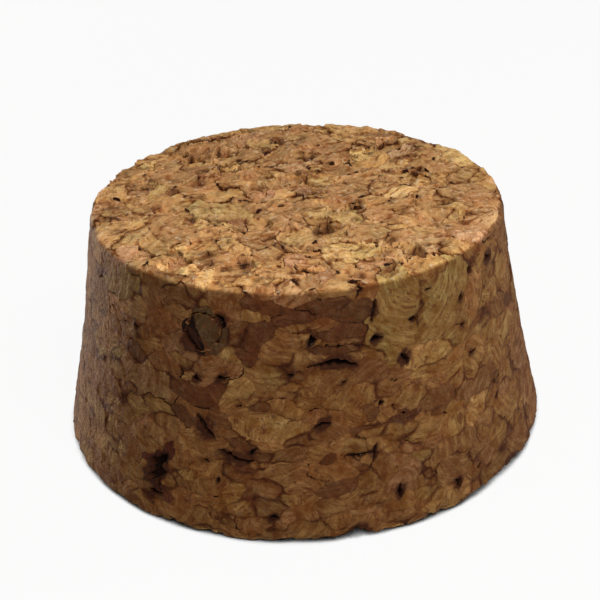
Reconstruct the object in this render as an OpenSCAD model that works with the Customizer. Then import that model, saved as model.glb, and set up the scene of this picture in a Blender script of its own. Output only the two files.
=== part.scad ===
// Tapered stopper of agglomerated cork. Ground granules are pressed into a
// block, the block is turned to a taper and its ends are sawn square. The
// stopper stands on its wide end, with Z along its axis, and its front is -Y.

/* [Body] */
// Diameter of the narrow end, which goes into the neck first
narrow_d = 36; // [26:0.5:43]
// Diameter of the wide end, which the stopper stands on, at its unrounded corner
wide_d = 44.4; // [37:0.1:60]
// Length from end to end
length = 21; // [14:0.5:60]
// Depth of the shallow hollow that grinding leaves along the flank
flank_hollow = 0.3; // [0.05:0.05:0.8]

/* [Rims] */
// Rounding of the crisp rim at the narrow end
narrow_rim = 0.4; // [0.1:0.1:1.2]
// Rounding of the rubbed rim at the wide end
wide_rim = 0.5; // [0.1:0.1:1.6]

/* [Granulate] */
// Size of a common granule, across the axis
granule = 3; // [2.4:0.2:6]
// Share of the granules that have torn out of the narrow end; the wide end,
// which is rubbed flatter, has lost a quarter as many
end_torn = 0.3; // [0:0.05:0.5]
// Depth of the deepest bed that a torn granule leaves
torn_depth = 0.4; // [0.2:0.05:0.8]

/* [Pores] */
// Length of a common pore between granules
pore = 1; // [0.5:0.1:1.6]
// Depth of the deepest common pore
pore_depth = 0.9; // [0.4:0.1:1.5]
// Number of small pores scattered round the flank
flank_pores = 18; // [0:1:90]
// Number of small pores scattered over each end
end_pores = 8; // [0:1:50]

/* [Wear] */
// Width of the notch in the wide rim
notch_w = 3.3; // [1:0.1:6]
// Height of that notch
notch_h = 1; // [0.4:0.1:3]
// How far that notch reaches inward
notch_reach = 1.5; // [0.5:0.1:4]
// How far inward the wide rim has rubbed away on its worn side
worn_reach = 2; // [0.5:0.1:4]
// Height that has gone from the wide rim in the middle of its worn side
worn_h = 0.8; // [0.3:0.1:2]
// Width of the chip broken out of the narrow rim
chip_w = 3; // [1:0.1:8]
// Depth of that chip
chip_depth = 0.8; // [0.3:0.1:2]
// Height of the ragged cavity low in the flank
cavity_h = 3.6; // [1:0.1:5]
// Depth of that cavity
cavity_depth = 1.4; // [0.5:0.1:3]
// Diameter of the round knot in the flank
knot_d = 3.2; // [1.4:0.1:4]
// Width and depth of the dark groove round that knot
knot_groove = 0.2; // [0.2:0.05:0.5]

/* [Hidden] */

narrow_r = narrow_d / 2;
wide_r = wide_d / 2;

// How far each cutting shape stands clear of the surface that it cuts
clear = 1;

// The flank is an arc of a large circle that passes through both rim corners
flank_chord = norm([wide_r - narrow_r, length]);
lean = atan2(wide_r - narrow_r, length);
hollow_r = pow(flank_chord, 2) / (8 * flank_hollow) + flank_hollow / 2;
hollow_centre = [(wide_r + narrow_r) / 2, length / 2]
    + (hollow_r - flank_hollow) * [cos(lean), sin(lean)];

// Bearings of the marks, seen from above: 0 is the front, positive turns right
notch_bearing = 10.5;
worn_bearings = [50, -34];
chip_bearing = -109;
cavity_bearing = -36;
knot_bearing = -24.3;

// Heights of the marks on the flank, as shares of the length
cavity_up = 0.21;
knot_up = 0.82;

// Large pores of the flank: bearing, height as a share of the length, then
// length and width in pores, and the turn from level
marked_flank_pores = [
    [-45.3, 0.757, 1.2, 0.7, 15],
    [-45, 0.619, 1, 0.6, 45],
    [-55, 0.776, 1.1, 0.5, -10],
    [-26, 0.633, 1.5, 0.7, -15],
    [-19.5, 0.648, 1.7, 0.6, 12],
    [-15.5, 0.548, 1, 0.5, 0],
    [-12.3, 0.362, 0.9, 0.7, 30],
    [-23, 0.305, 0.9, 0.5, -10],
    [-3.2, 0.674, 0.8, 0.5, 0],
    [-40.5, 0.357, 0.5, 0.5, 0],
    [-20.3, 0.233, 0.9, 0.7, 60],
    [-7.5, 0.105, 1.2, 0.5, -10],
    [-22, 0.124, 0.5, 0.5, 0],
    [-33.8, 0.267, 1.7, 0.9, 60],
    [-36.2, 0.114, 2.8, 0.7, 3],
    [2.2, 0.8, 0.9, 1.4, 0],
    [8.7, 0.776, 0.7, 0.8, 30],
    [17.5, 0.781, 1.6, 0.8, -8],
    [9.5, 0.633, 1, 0.4, 45],
    [18, 0.524, 0.7, 0.8, 20],
    [21.5, 0.6, 0.9, 0.6, -20],
    [28.3, 0.821, 0.9, 0.8, 0],
    [33.2, 0.91, 1, 0.45, -10],
    [44.2, 0.819, 0.8, 1.1, 15],
    [48.5, 0.91, 1.3, 0.7, 20],
    [58, 0.905, 2, 0.8, -10],
    [46, 0.59, 1.6, 0.5, 10],
    [53, 0.338, 1, 0.8, 30],
    [34.5, 0.402, 0.6, 0.5, 0],
    [23.5, 0.457, 1.3, 0.5, -25],
    [23.5, 0.348, 0.9, 0.4, -30],
    [4.3, 0.255, 0.6, 0.4, 0],
    [35.5, 0.105, 0.9, 1.6, 15],
    [42, 0.119, 1, 0.5, 10],
];

// Crevices of the flank: bearing, height share, length and width in pores,
// rise of the middle above the ends, turn
marked_flank_crevices = [
    [7.2, 0.686, 4.6, 0.5, 0.6, -6],
    [-23.3, 0.44, 3.3, 0.5, -0.1, -48],
    [-15.8, 0.348, 3.5, 0.5, -0.3, -14],
    [4, 0.469, 1.7, 0.4, 0.1, 15],
    [11.2, 0.343, 2.8, 0.35, -0.15, -3],
    [15.2, 0.329, 2.2, 0.3, 0, 72],
    [25, 0.676, 1.3, 0.45, 0.05, -62],
    [20.6, 0.162, 1.7, 0.35, 0, 88],
    [43, 0.714, 1.8, 0.3, 0.1, -22],
    [18, 0.886, 2.4, 0.3, 0.05, 84],
    [-20.3, 0.867, 1.7, 0.5, 0.25, -56],
    [-26, 0.795, 2.8, 0.7, -0.9, -50],
];

// Large pores of the narrow end: X and Y as shares of its radius, then length
// and width in pores, and the turn from X
marked_end_pores = [
    [-0.478, 0.206, 2, 0.9, -40],
    [-0.683, -0.072, 1.3, 0.8, 70],
    [-0.811, -0.333, 0.7, 0.6, 0],
    [-0.189, -0.244, 1.1, 0.9, 20],
    [0.128, -0.389, 3.6, 1.6, 75],
    [0.194, -0.356, 1.8, 0.8, 15],
    [0.3, -0.1, 1.6, 0.8, -55],
    [0.294, -0.283, 0.8, 0.6, 0],
    [0.733, -0.122, 1.1, 1, 0],
    [0.656, -0.222, 1, 0.7, 20],
    [0.967, -0.267, 1.7, 0.8, 75],
    [0.778, -0.378, 1.6, 0.8, -20],
    [0.656, -0.406, 0.7, 0.6, 0],
    [0.417, -0.556, 1.2, 1.1, 60],
    [0.389, -0.667, 0.9, 0.7, 80],
    [0.261, -0.883, 1.4, 0.5, 10],
    [-0.017, -0.8, 1.1, 1, 40],
    [-0.083, -0.678, 1.4, 0.45, 80],
    [-0.244, -0.689, 1.3, 0.6, 75],
    [-0.4, -0.611, 1.3, 0.7, -20],
    [-0.389, -0.7, 1.3, 0.5, -70],
    [-0.567, -0.767, 1.4, 0.7, -60],
    [0.039, 0.222, 1.1, 0.8, 0],
    [0.483, 0.25, 1.6, 0.7, 20],
    [0.272, 0.178, 0.8, 0.6, 45],
    [0.633, 0.611, 2, 0.6, 10],
    [-0.083, 0.744, 2.4, 0.9, -70],
    [-0.611, 0.078, 1, 0.6, 0],
    [-0.906, -0.056, 1.7, 1.2, 80],
    [-0.867, 0.247, 3.2, 1.1, 4],
];

// Crevices of the narrow end: X and Y shares, length and width in pores, rise
// of the middle, turn
marked_end_crevices = [
    [0.533, -0.206, 1.4, 0.45, 0.05, 50],
    [0.533, -0.667, 1.8, 0.5, 0.1, -75],
    [0.4, -0.833, 3.2, 0.6, 0.2, 62],
    [0.556, 0.422, 2.8, 0.6, 0.1, 27],
    [0.089, 0.5, 2, 0.5, -0.1, -48],
    [0.089, 0.056, 2.4, 0.5, 0, 62],
    [-0.55, 0.589, 2, 0.5, 0, -60],
    [-0.9, -0.192, 2.4, 0.5, 0.1, -8],
    [-0.3, -0.267, 3.4, 0.4, 0.1, 0],
];

// A repeatable scatter from 0 to 1 for each pair of numbers
function scatter(a, b) =
    let (s = 43758.5453 * sin(12.9898 * a + 78.233 * b + 37))
    s - floor(s);

function arc(centre, r, from, to, steps) = [
    for (k = [0:steps])
        let (a = from + (to - from) * k / steps)
        centre + r * [cos(a), sin(a)]
];

// Distance from the axis of a circle's centre at height z, where a circle of
// radius r touches the flank arc from inside. With r = 0 it is the flank
function inside_flank(r, z) =
    hollow_centre.x - sqrt(pow(hollow_r + r, 2) - pow(z - hollow_centre.y, 2));

function toward_hollow(p) = atan2(hollow_centre.y - p.y, hollow_centre.x - p.x);

// Half section of the turned body, from the axis out and up
function half_section() =
    let (
        low = [inside_flank(wide_rim, wide_rim), wide_rim],
        high = [inside_flank(narrow_rim, length - narrow_rim), length - narrow_rim],
        low_end = toward_hollow(low),
        high_start = toward_hollow(high),
        step = (high_start - low_end) / 6
    )
    concat(
        [[0, 0]],
        arc(low, wide_rim, -90, low_end, 3),
        arc(hollow_centre, hollow_r, 180 + low_end + step, 180 + high_start - step, 4),
        arc(high, narrow_rim, high_start, 90, 3),
        [[0, length]]
    );

// Ragged outline with an even number of sharp corners, every other one drawn in
function ragged(long, wide, key, corners) = [
    for (k = [0:corners - 1])
        let (
            a = 360 / corners * (k + 0.6 * scatter(key, k) - 0.3),
            reach = (k % 2 == 0 ? 1 : 0.6) * (0.8 + 0.3 * scatter(k, key))
        )
        reach / 2 * [long * cos(a), wide * sin(a)]
];

// Slim outline with two sharp ends, bowed by rise
function bowed_slit(long, wide, rise, steps = 6) =
    let (spine = function(t) [long / 2 * t, rise * (1 - t * t)])
    concat(
        [for (k = [0:steps]) let (t = 2 * k / steps - 1) spine(t) - [0, wide / 2 * (1 - t * t)]],
        [for (k = [steps - 1:-1:1]) let (t = 2 * k / steps - 1) spine(t) + [0, wide / 2 * (1 - t * t)]]
    );

// Seed of the granule in column i and row j of a field with this pitch
function seed(i, j, pitch) = [
    pitch.x * (i + 0.8 * scatter(i, j) - 0.4),
    pitch.y * (j + 0.8 * scatter(j + 60, i) - 0.4),
];

// What is left of an outline on the near side of the line through p that
// faces along n
function near_side(outline, p, n) = [
    for (k = [0:len(outline) - 1])
        let (
            a = outline[k],
            b = outline[(k + 1) % len(outline)],
            da = (a - p) * n,
            db = (b - p) * n
        )
        each concat(da <= 0 ? [a] : [], da * db < 0 ? [a + (b - a) * da / (da - db)] : [])
];

function cut_back(outline, own, others, k = 0) =
    k == len(others)
        ? outline
        : cut_back(near_side(outline, (own + others[k]) / 2, others[k] - own), own, others, k + 1);

// Outline of one granule, about its own seed: everything nearer to it than to
// the seeds round it, drawn in by the glue line
function granule_outline(i, j, pitch) =
    let (
        own = seed(i, j, pitch),
        others = [for (m = [-2:2], n = [-2:2]) if (m != 0 || n != 0) seed(i + m, j + n, pitch)],
        field = [for (a = [45:90:315]) own + 2 * norm(pitch) * [cos(a), sin(a)]]
    )
    [for (p = cut_back(field, own, others)) 0.92 * (p - own)];

module on_flank(bearing, z)
    rotate([0, 0, bearing])
        translate([0, -inside_flank(0, z), z])
            rotate([90 - lean, 0, 0])
                children();

module on_narrow_end()
    translate([0, 0, length])
        children();

module on_wide_end()
    rotate([180, 0, 0])
        children();

// Straight recess of this outline below z = 0
module recess(outline, depth)
    translate([0, 0, -depth])
        linear_extrude(height = depth + clear)
            polygon(outline);

module pore_recess(long, wide, turn, key)
    rotate([0, 0, turn])
        recess(
            ragged(long * pore, wide * pore, key, max(long, wide) > 1.1 ? 6 : 4),
            pore_depth * (0.6 + 0.4 * scatter(key, 7))
        );

module crevice_recess(long, wide, rise, turn, key)
    rotate([0, 0, turn])
        recess(
            bowed_slit(long * pore, wide * pore, rise * pore),
            pore_depth * (0.6 + 0.4 * scatter(key, 9))
        );

module marked_pores() {
    for (k = [0:len(marked_flank_pores) - 1])
        let (p = marked_flank_pores[k])
        on_flank(p[0], p[1] * length)
            pore_recess(p[2], p[3], p[4], k);
    for (k = [0:len(marked_flank_crevices) - 1])
        let (c = marked_flank_crevices[k])
        on_flank(c[0], c[1] * length)
            crevice_recess(c[2], c[3], c[4], c[5], k);
    on_narrow_end() {
        for (k = [0:len(marked_end_pores) - 1])
            let (p = marked_end_pores[k])
            translate(narrow_r * [p[0], p[1]])
                pore_recess(p[2], p[3], p[4], k + 30);
        for (k = [0:len(marked_end_crevices) - 1])
            let (c = marked_end_crevices[k])
            translate(narrow_r * [c[0], c[1]])
                crevice_recess(c[2], c[3], c[4], c[5], k + 30);
    }
}

// Small pores in a spiral over one end
module end_pore_field(r, key)
    for (k = [0:end_pores - 1])
        rotate([0, 0, 137.5 * k + 40 * scatter(k, key)])
            translate([0.92 * r * sqrt((k + 0.5) / end_pores), 0])
                pore_recess(0.5 + 0.5 * scatter(key, k), 0.5, 360 * scatter(k, key + 1), key + k);

// Small pores round the flank, outside its marked front
module flank_pore_field(key)
    for (k = [0:flank_pores - 1])
        on_flank(65 + 230 * (k + scatter(k, key)) / flank_pores, length * (0.1 + 0.8 * scatter(key, k)))
            pore_recess(0.5 + 0.9 * scatter(key + 1, k), 0.5, 60 * scatter(k, key + 2) - 30, key + k);

// Shallow beds that torn granules have left in one end
module end_torn_field(r, key, share) {
    reach = ceil(r / granule);
    for (i = [-reach:reach], j = [-reach:reach])
        let (place = seed(i + key, j, [granule, granule]) - [key * granule, 0])
        if (norm(place) < r - 0.7 * granule && scatter(i + key, j + 11) < share)
            translate(place)
                recess(
                    granule_outline(i + key, j, [granule, granule]),
                    torn_depth * (0.3 + 0.7 * scatter(j + key, i + 23))
                );
}

// Notch at the foot of the flank, with its peak off centre
module wide_rim_notch()
    rotate([0, 0, notch_bearing])
        translate([0, -wide_r + notch_reach, 0])
            rotate([90, 0, 0])
                linear_extrude(height = notch_reach + clear)
                    polygon([
                        [-notch_w / 2, -clear],
                        [-notch_w / 2, notch_h * 0.2],
                        [-notch_w * 0.1, notch_h],
                        [notch_w * 0.15, notch_h * 0.7],
                        [notch_w / 2, notch_h * 0.15],
                        [notch_w / 2, -clear],
                    ]);

// Rubbed stretch of the wide rim, a flat that slopes up and out
module worn_wide_rim(bearing, share) {
    reach = worn_reach * share;
    height = worn_h * share;
    rotate([0, 0, bearing])
        translate([0, -wide_r + reach, 0])
            rotate([-atan2(height, reach), 0, 0])
                translate([-wide_r, -2 * reach - clear, -2 * height - clear])
                    cube([wide_d, 2 * reach + clear, 2 * height + clear]);
}

module narrow_rim_chip()
    rotate([0, 0, chip_bearing])
        translate([0, -narrow_r, length])
            recess(ragged(chip_w, chip_w * 0.5, 5, 8), chip_depth);

module flank_cavity()
    on_flank(cavity_bearing, cavity_up * length) {
        recess(ragged(cavity_h * 0.65, cavity_h, 12, 10), cavity_depth * 0.6);
        recess(ragged(cavity_h * 0.3, cavity_h * 0.5, 13, 6), cavity_depth);
    }

// The knot is level with the flank, inside its dark groove
module knot_ring()
    on_flank(knot_bearing, knot_up * length)
        translate([0, 0, -knot_groove])
            difference() {
                cylinder(h = knot_groove + clear, d = knot_d, $fn = 24);
                translate([0, 0, -clear])
                    cylinder(h = knot_groove + 3 * clear, d = knot_d - 2 * knot_groove, $fn = 24);
            }

module stopper()
    color("#a67c4e")
        difference() {
            rotate_extrude($fn = 144)
                polygon(half_section());
            marked_pores();
            on_narrow_end()
                end_torn_field(narrow_r, 0, end_torn);
            on_wide_end() {
                end_pore_field(wide_r, 200);
                end_torn_field(wide_r, 50, end_torn / 4);
            }
            flank_pore_field(300);
            wide_rim_notch();
            worn_wide_rim(worn_bearings[0], 1);
            worn_wide_rim(worn_bearings[1], 0.3);
            narrow_rim_chip();
            flank_cavity();
            knot_ring();
        }

stopper();
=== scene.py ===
"""Looks of a tapered stopper of agglomerated cork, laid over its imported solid.

The stopper stands on its wide end, with Z along its axis and -Y at the front. Its skin is
turned from a half section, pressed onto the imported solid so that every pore, chip and worn
place is kept, and then cut along the outlines of the cork granules.
"""

import logging
import math
from dataclasses import dataclass, field
from enum import Enum
from functools import partial
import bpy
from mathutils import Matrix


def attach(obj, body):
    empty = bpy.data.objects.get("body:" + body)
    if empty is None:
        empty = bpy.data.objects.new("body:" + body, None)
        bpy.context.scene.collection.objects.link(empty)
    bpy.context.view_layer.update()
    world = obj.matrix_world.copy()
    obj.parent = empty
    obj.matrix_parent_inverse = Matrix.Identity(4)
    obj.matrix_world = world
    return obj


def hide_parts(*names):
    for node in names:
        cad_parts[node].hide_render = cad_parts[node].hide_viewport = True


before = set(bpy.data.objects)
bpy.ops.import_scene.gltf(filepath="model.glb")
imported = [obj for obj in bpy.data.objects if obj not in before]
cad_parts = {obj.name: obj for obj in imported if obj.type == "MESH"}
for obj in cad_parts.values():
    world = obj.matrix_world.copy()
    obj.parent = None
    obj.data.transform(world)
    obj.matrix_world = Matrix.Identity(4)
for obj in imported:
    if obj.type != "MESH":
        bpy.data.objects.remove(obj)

from types import SimpleNamespace
from typing import NamedTuple

import bpy
import numpy as np
from mathutils import Matrix, Vector, noise
from mathutils.bvhtree import BVHTree

MM = 0.001
NODE = "stopper"

# Names of the kinds of node that are used most, and numbers of the inputs of a colour mix
MATH = "ShaderNodeMath"
RAMP = "ShaderNodeMapRange"
NOISE = "ShaderNodeTexNoise"
ATTRIBUTE = "ShaderNodeAttribute"
MIX = "ShaderNodeMix"
SHARE, FIRST, SECOND = 0, 6, 7

WHITE = "ffffff"

# Multipliers that turn two granules' numbers into a chance of their own
HASH = (12.9898, 78.233, 43758.5453)

log = logging.getLogger("stopper")


def linear(hex_color: str) -> tuple[float, float, float, float]:
    """Turns an sRGB hex value into the linear colour that the shaders use.

    Args:
        hex_color: six hex digits, such as "a0703c".

    Returns:
        Linear red, green and blue, and an opacity of 1.
    """
    parts = [int(hex_color[k : k + 2], 16) / 255 for k in (0, 2, 4)]
    red, green, blue = (p / 12.92 if p <= 0.04045 else ((p + 0.055) / 1.055) ** 2.4 for p in parts)
    return red, green, blue, 1.0


def add_node(tree: bpy.types.NodeTree, kind: str, *sources, **settings) -> bpy.types.Node:
    """Adds one node to a shader or geometry tree, with its settings and links.

    Args:
        tree: the tree to add to.
        kind: Blender's name for the node's type.
        sources: what feeds the inputs in order, or one dict of it by the inputs' names or numbers.
            Each is a socket, a node whose output in use is taken, or a value.
        settings: properties to set on the node.

    Returns:
        The new node.
    """
    node = tree.nodes.new(kind)
    for name, value in settings.items():
        setattr(node, name, value)
    named = sources[0] if sources and isinstance(sources[0], dict) else dict(enumerate(sources))
    for name, source in named.items():
        if isinstance(source, bpy.types.Node):
            source = next(output for output in source.outputs if output.enabled)
        if isinstance(source, bpy.types.NodeSocket):
            tree.links.new(source, node.inputs[name])
        else:
            node.inputs[name].default_value = source
    return node


def cleared(owner: bpy.types.Material | bpy.types.World) -> partial:
    """Clears the nodes of a material or a world.

    Args:
        owner: the material or the world.

    Returns:
        The function that adds a node to its tree.
    """
    owner.use_nodes = True
    owner.node_tree.nodes.clear()
    return partial(add_node, owner.node_tree)


def placed(name: str, data: bpy.types.ID) -> bpy.types.Object:
    """Makes an object and links it to the scene.

    Args:
        name: the object's name.
        data: its mesh, camera or light.

    Returns:
        The object.
    """
    thing = bpy.data.objects.new(name, data)
    bpy.context.collection.objects.link(thing)
    return thing


class Tone(Enum):
    """Tones that cork granules have, from pale heartwood to bark, and two that paint light at the knot: the
    shade in its ring gap and a glint.
    """

    STRAW = "e0b878"
    OLIVE = "c8a466"
    SAND = "d0a468"
    HONEY = "c6965a"
    ROSE = "cc9c74"
    TAN = "b68856"
    RUSSET = "b28254"
    HAZEL = "a0744a"
    BARK = "8c5e3a"
    KNOT = "806a48"
    # Painted shade: the dark crescent in the knot's ring gap, painted as a near-black granule
    SOOT = "2c180c"
    # Painted highlight: the pale glint on the knot, painted as a granule
    GLINT = "d8d0bc"
    MAROON = "86462e"
    # Dark granules in the band just under the narrow rim: partly dark cork, partly painted shadow of the rim
    UMBER = "8a5e3c"


@dataclass(frozen=True)
class Section:
    """Half section of the turned body, in metres."""

    narrow_r: float = 18.0 * MM
    wide_r: float = 22.2 * MM
    length: float = 21.0 * MM
    hollow: float = 0.3 * MM
    narrow_rim: float = 0.4 * MM
    wide_rim: float = 0.5 * MM

    @property
    def lean(self) -> float:
        """Angle of the flank's normal above level."""
        return math.atan2(self.wide_r - self.narrow_r, self.length)

    def flank_point(self, share: float) -> tuple[float, float]:
        """Finds a point on the hollow flank.

        Args:
            share: the point's share of the body's height.

        Returns:
            Its distance from the axis and its height.
        """
        inward = 4 * self.hollow * share * (1 - share)
        radius = self.wide_r + (self.narrow_r - self.wide_r) * share - inward * math.cos(self.lean)
        return radius, self.length * share - inward * math.sin(self.lean)

    def rounded(
        self, level: float, inward: float, radius: float, steps: int = 8
    ) -> list[tuple[float, float]]:
        """Points of the rounding between an end and the flank.

        Args:
            level: height of the end.
            inward: +1 where the body lies above that level, -1 where it lies below.
            radius: radius of the rounding.
            steps: number of straight steps along it.

        Returns:
            Points from the end to the flank.
        """
        height = level + inward * radius
        share = height / self.length
        flank_r, _ = self.flank_point(share)
        centre_r = flank_r - radius / math.cos(self.lean)
        first = -inward * math.pi / 2
        return [
            (centre_r + radius * math.cos(a), height + radius * math.sin(a))
            for a in (first + (self.lean - first) * k / steps for k in range(steps + 1))
        ]

    def points(self, flank_steps: int = 24) -> tuple[list[Vector], float, float]:
        """Points of the half section from the axis at the foot to the axis at the top.

        Args:
            flank_steps: number of straight steps up the flank.

        Returns:
            The points in the XZ plane, and the shares of the outline's length at the middle of
            the wide rim and of the narrow rim.
        """
        low = self.rounded(0.0, 1.0, self.wide_rim)
        high = self.rounded(self.length, -1.0, self.narrow_rim)[::-1]
        start, end = low[-1][1] / self.length, high[0][1] / self.length
        flank = [self.flank_point(start + (end - start) * k / flank_steps) for k in range(1, flank_steps)]
        outline = [(0.0, 0.0), *low, *flank, *high, (0.0, self.length)]
        points = [Vector((r, 0.0, z)) for r, z in outline]
        run = np.cumsum([0.0] + [(b - a).length for a, b in zip(points, points[1:])])
        low_middle, high_middle = 1 + len(low) // 2, len(points) - 2 - len(high) // 2
        return points, run[low_middle] / run[-1], run[high_middle] / run[-1]


@dataclass
class TurnedBlank:
    """The closed skin of the body, turned from its half section by a Geometry Nodes tree.

    The skin is a box of square cells that is wrapped round the axis: its lid and floor become
    the ends, and its four walls the flank, so that no cell is pinched at a pole.
    """

    section: Section
    cells_across: int = 84
    cells_up: int = 57

    def tree(self) -> bpy.types.NodeTree:
        """Builds the tree that wraps the box of cells round the axis.

        Returns:
            The tree, with the half section as its geometry input.
        """
        tree = bpy.data.node_groups.new("turn_from_section", "GeometryNodeTree")
        for name, kind in (
            ("Half section", "NodeSocketGeometry"),
            ("Wide rim share", "NodeSocketFloat"),
            ("Narrow rim share", "NodeSocketFloat"),
            ("Cells across", "NodeSocketInt"),
            ("Cells up", "NodeSocketInt"),
            ("Finish", "NodeSocketMaterial"),
        ):
            tree.interface.new_socket(name, in_out="INPUT", socket_type=kind)
        tree.interface.new_socket("Skin", in_out="OUTPUT", socket_type="NodeSocketGeometry")
        add = partial(add_node, tree)
        given = add("NodeGroupInput").outputs
        wide, narrow = given["Wide rim share"], given["Narrow rim share"]

        # A box of cells, with how far out, how high and at what bearing each place on it lies
        across, up = (add(MATH, given[name], 1.0, operation="ADD") for name in ("Cells across", "Cells up"))
        box = add("GeometryNodeMeshCube", (2, 2, 2), across, across, up)
        place = add("ShaderNodeSeparateXYZ", add("GeometryNodeInputPosition")).outputs
        out = add(MATH, *(add(MATH, place[axis], operation="ABSOLUTE") for axis in "XY"), operation="MAXIMUM")
        rise = add(MATH, place["Z"], 0.5, 0.5, operation="MULTIPLY_ADD")
        sides = []
        for axis in "YX":
            side = add(MATH, place[axis], out, operation="DIVIDE")
            angle = add(MATH, side, math.pi / 4, operation="MULTIPLY")
            sides.append(add(MATH, angle, operation="TANGENT"))
        bearing = add(MATH, *sides, operation="ARCTAN2")

        # The place's share of the outline: out under the floor, up the flank and in over the lid
        flank = add(MATH, narrow, wide, operation="SUBTRACT")
        ends = add(MATH, 1.0, flank, operation="SUBTRACT")
        inward = add(MATH, 1.0, out, operation="SUBTRACT")
        lid = add(MATH, rise, ends, operation="MULTIPLY")
        lid = add(MATH, lid, inward, operation="MULTIPLY")
        climb = add(MATH, flank, rise, lid, operation="MULTIPLY_ADD")
        run = add(MATH, wide, out, climb, operation="MULTIPLY_ADD")

        # The point of the half section there, turned to the bearing
        section = add("GeometryNodeMeshToCurve", given["Half section"])
        sample = add("GeometryNodeSampleCurve", {"Curves": section, "Factor": run}, mode="FACTOR")
        point = add("ShaderNodeSeparateXYZ", sample.outputs["Position"]).outputs
        level = (
            add(MATH, point["X"], add(MATH, bearing, operation=part), operation="MULTIPLY")
            for part in ("COSINE", "SINE")
        )
        turned = add("ShaderNodeCombineXYZ", *level, point["Z"])
        skin = add("GeometryNodeSetPosition", {"Geometry": box, "Position": turned})
        real = add("GeometryNodeRealizeInstances", skin)
        dressed = add("GeometryNodeSetMaterial", {"Geometry": real, "Material": given["Finish"]})
        add("NodeGroupOutput", dressed)
        return tree

    def build(self, finish: bpy.types.Material) -> tuple[np.ndarray, np.ndarray]:
        """Turns the skin.

        Args:
            finish: material that the tree sets on the skin.

        Returns:
            The vertices, in metres, and the triangles.
        """
        points, wide_share, narrow_share = self.section.points()
        outline = bpy.data.meshes.new("half_section")
        outline.from_pydata(points, [(k, k + 1) for k in range(len(points) - 1)], [])
        holder = placed("half_section", outline)
        tree = self.tree()
        modifier = holder.modifiers.new("turn", "NODES")
        modifier.node_group = tree
        values = {
            "Wide rim share": float(wide_share),
            "Narrow rim share": float(narrow_share),
            "Cells across": self.cells_across,
            "Cells up": self.cells_up,
            "Finish": finish,
        }
        for item in tree.interface.items_tree:
            if item.in_out == "INPUT" and item.name in values:
                modifier[item.identifier] = values[item.name]
        evaluated = holder.evaluated_get(bpy.context.evaluated_depsgraph_get())
        mesh = bpy.data.meshes.new_from_object(evaluated)
        vertices = np.empty(len(mesh.vertices) * 3)
        mesh.vertices.foreach_get("co", vertices)
        mesh.calc_loop_triangles()
        triangles = np.empty(len(mesh.loop_triangles) * 3, dtype=np.int32)
        mesh.loop_triangles.foreach_get("vertices", triangles)
        bpy.data.objects.remove(holder)
        bpy.data.meshes.remove(mesh)
        return vertices.reshape(-1, 3), triangles.reshape(-1, 3)


def ramp(values: np.ndarray, start: float, end: float) -> np.ndarray:
    """Numbers that go from 0 at start to 1 at end, and no further."""
    return np.clip((values - start) / (end - start), 0, 1)


def unit(vectors: np.ndarray) -> np.ndarray:
    """The vectors, each brought to length 1."""
    return vectors / np.linalg.norm(vectors, axis=1, keepdims=True)


def part_way(values: np.ndarray, edges: np.ndarray, share: np.ndarray) -> np.ndarray:
    """Values at a share of the way along edges, from the vertices' values."""
    start, end = edges.T
    return values[start] * (1 - share) + values[end] * share


def wander(points: np.ndarray, wavelength: float, seed: int, waves: int = 12) -> np.ndarray:
    """Smooth random vectors, one at each point.

    Args:
        points: places in space, in metres.
        wavelength: distance over which the vectors change, in metres.
        seed: number that fixes the pattern.
        waves: number of plane waves that are added up.

    Returns:
        One vector for each point, of length 1 or so.
    """
    rng = np.random.default_rng(seed)
    total = np.zeros_like(points)
    for _ in range(waves):
        heading = rng.normal(size=3)
        stretch = rng.uniform(0.6, 1.7)
        heading *= 2 * math.pi / (np.linalg.norm(heading) * wavelength * stretch)
        phase = rng.uniform(0, 2 * math.pi)
        total += np.outer(np.sin(points @ heading + phase), rng.normal(size=3))
    return total / math.sqrt(waves)


def lumps(points: np.ndarray, size: float, seed: int) -> np.ndarray:
    """Fractal noise at each point.

    Args:
        points: places in space, in metres.
        size: size of the largest lumps, in metres.
        seed: number that fixes the pattern.

    Returns:
        Numbers from about -1 to 1.
    """
    shift = Vector((17.3, 5.1, 11.7)) * seed
    fall, step, octaves = 0.7, 2.1, 3
    return np.array([noise.fractal(Vector(point) + shift, fall, step, octaves) for point in points / size])


def crumbs(points: np.ndarray, size: float, crease: float = 0.25) -> tuple[np.ndarray, np.ndarray]:
    """Breaks a surface up into crumbs.

    Args:
        points: places in space, in metres.
        size: size of a crumb, in metres.
        crease: width of the creases, in crumb sizes.

    Returns:
        For each point how near it is to the crease between two crumbs, from 0 to 1, and its
        crumb's own level, from 0 to 1.
    """
    shift, apart = Vector((3.7, 19.9, 7.3)), 31.0
    creases, levels = np.empty(len(points)), np.empty(len(points))
    for k, point in enumerate(points / size):
        distances, middles = noise.voronoi(Vector(point) + shift)
        creases[k] = distances[1] - distances[0]
        levels[k] = noise.cell(middles[0] * apart)
    return ramp(creases, crease, 0.0), levels


class Pair(NamedTuple):
    """A value on the ground flank and on the sawn ends."""

    flank: float
    end: float

    def at(self, sawn: np.ndarray) -> np.ndarray:
        """The value where the surface is sawn to a share from 0 to 1."""
        return self.flank + (self.end - self.flank) * sawn


class Patches(NamedTuple):
    """A strength that comes and goes over the surface, in patches of some size in metres."""

    middle: float
    contrast: float
    size: float
    seed: int
    greatest: float = 1.0

    def at(self, points: np.ndarray) -> np.ndarray:
        """The strength at each point."""
        strength = self.middle + self.contrast * lumps(points, self.size, self.seed)
        return np.clip(strength, 0, self.greatest)


class MarkedGranule(NamedTuple):
    """A granule that shows plainly, with its middle on the surface, sizes in millimetres.

    The place is a bearing in degrees and a height on the flank, or X and Y on the narrow end.
    Turn is the angle in degrees between the granule's length and level.
    """

    across: float
    up: float
    length: float
    width: float
    turn: float
    tone: Tone


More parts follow.
